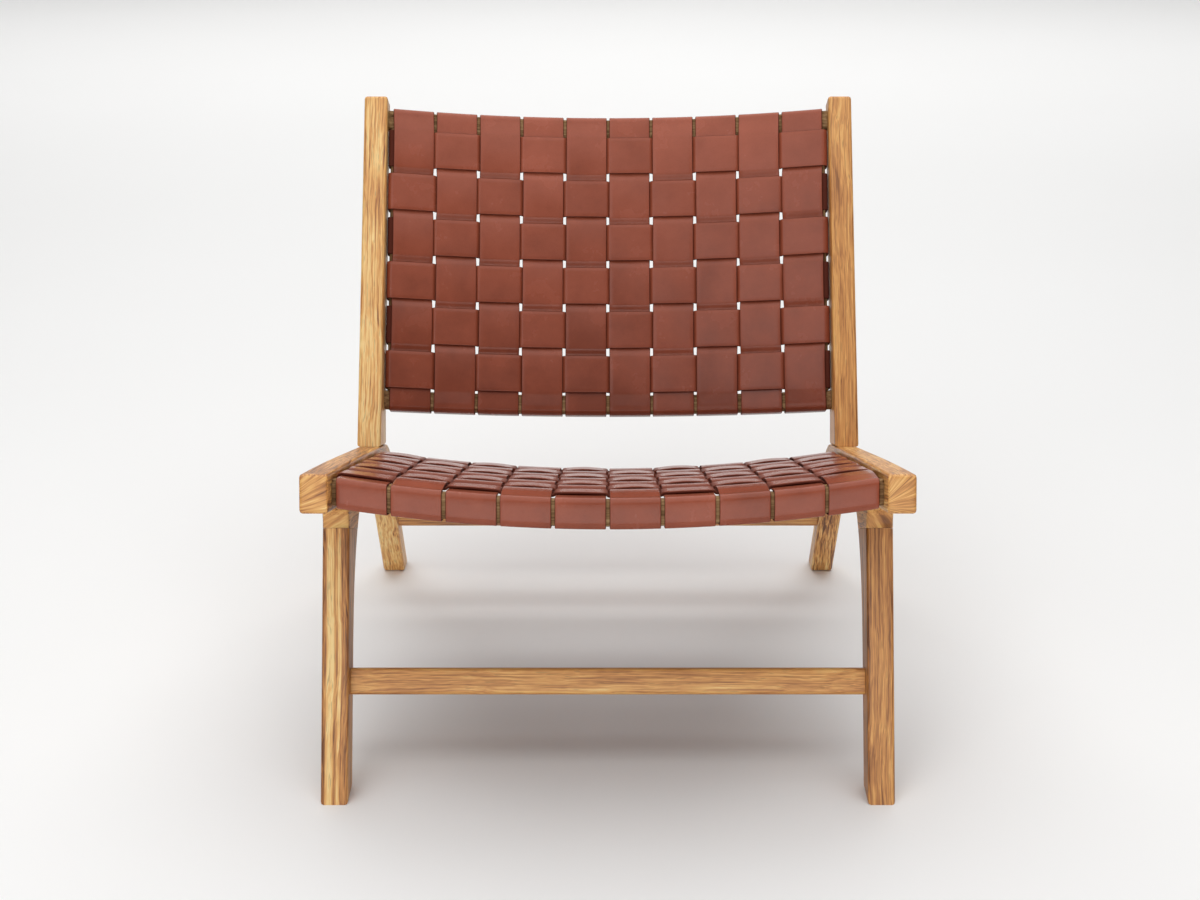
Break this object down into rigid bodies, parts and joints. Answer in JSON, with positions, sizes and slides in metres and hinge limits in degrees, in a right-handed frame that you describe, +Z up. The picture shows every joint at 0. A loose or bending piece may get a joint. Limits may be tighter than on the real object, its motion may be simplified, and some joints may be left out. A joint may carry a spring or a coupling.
{
  "type": "woven strap lounge chair",
  "caption": "Low armless lounge chair: teak side frames with splayed legs and raked posts, seat and back of leather straps woven over and under, stretched round bowed bars.",
  "frame": {"origin": "on the floor, under the middle of the chair's box", "axes": "+Z up, the sitter faces -Y, +X to the right as seen from the front"},
  "size_m": [0.6126, 0.7426, 0.6489],
  "materials": {
    "teak_frame": "satin oiled teak, honey to orange-brown with darker streaks",
    "teak_bars": "matt teak, olive-tan, mostly hidden under the straps",
    "strap_leather": "satin red-brown leather with a fine grain and softly rounded edges"
  },
  "bodies": {
    "root": {"seat_rail_left": "teak_frame", "front_leg_left": "teak_frame", "rear_leg_left": "teak_frame", "back_post_left": "teak_frame", "seat_rail_right": "teak_frame", "front_leg_right": "teak_frame", "rear_leg_right": "teak_frame", "back_post_right": "teak_frame", "front_stretcher": "teak_frame", "rear_stretcher": "teak_frame", "seat_front_bar": "teak_bars", "seat_rear_bar": "teak_bars", "back_bottom_bar": "teak_bars", "back_top_bar": "teak_bars", "seat_side_slat_left": "teak_bars", "seat_side_slat_right": "teak_bars", "back_side_slat_left": "teak_bars", "back_side_slat_right": "teak_bars", "seat_strap_1": "strap_leather", "seat_strap_2": "strap_leather", "seat_strap_3": "strap_leather", "seat_strap_4": "strap_leather", "seat_strap_5": "strap_leather", "seat_strap_6": "strap_leather", "seat_strap_7": "strap_leather", "seat_strap_8": "strap_leather", "seat_strap_9": "strap_leather", "seat_strap_10": "strap_leather", "back_strap_1": "strap_leather", "back_strap_2": "strap_leather", "back_strap_3": "strap_leather", "back_strap_4": "strap_leather", "back_strap_5": "strap_leather", "back_strap_6": "strap_leather", "back_strap_7": "strap_leather", "back_strap_8": "strap_leather", "back_strap_9": "strap_leather", "back_strap_10": "strap_leather", "seat_cross_strap_1": "strap_leather", "seat_cross_strap_2": "strap_leather", "seat_cross_strap_3": "strap_leather", "seat_cross_strap_4": "strap_leather", "seat_cross_strap_5": "strap_leather", "seat_cross_strap_6": "strap_leather", "seat_cross_strap_7": "strap_leather", "back_cross_strap_1": "strap_leather", "back_cross_strap_2": "strap_leather", "back_cross_strap_3": "strap_leather", "back_cross_strap_4": "strap_leather", "back_cross_strap_5": "strap_leather", "back_cross_strap_6": "strap_leather"}
  },
  "joints": []
}
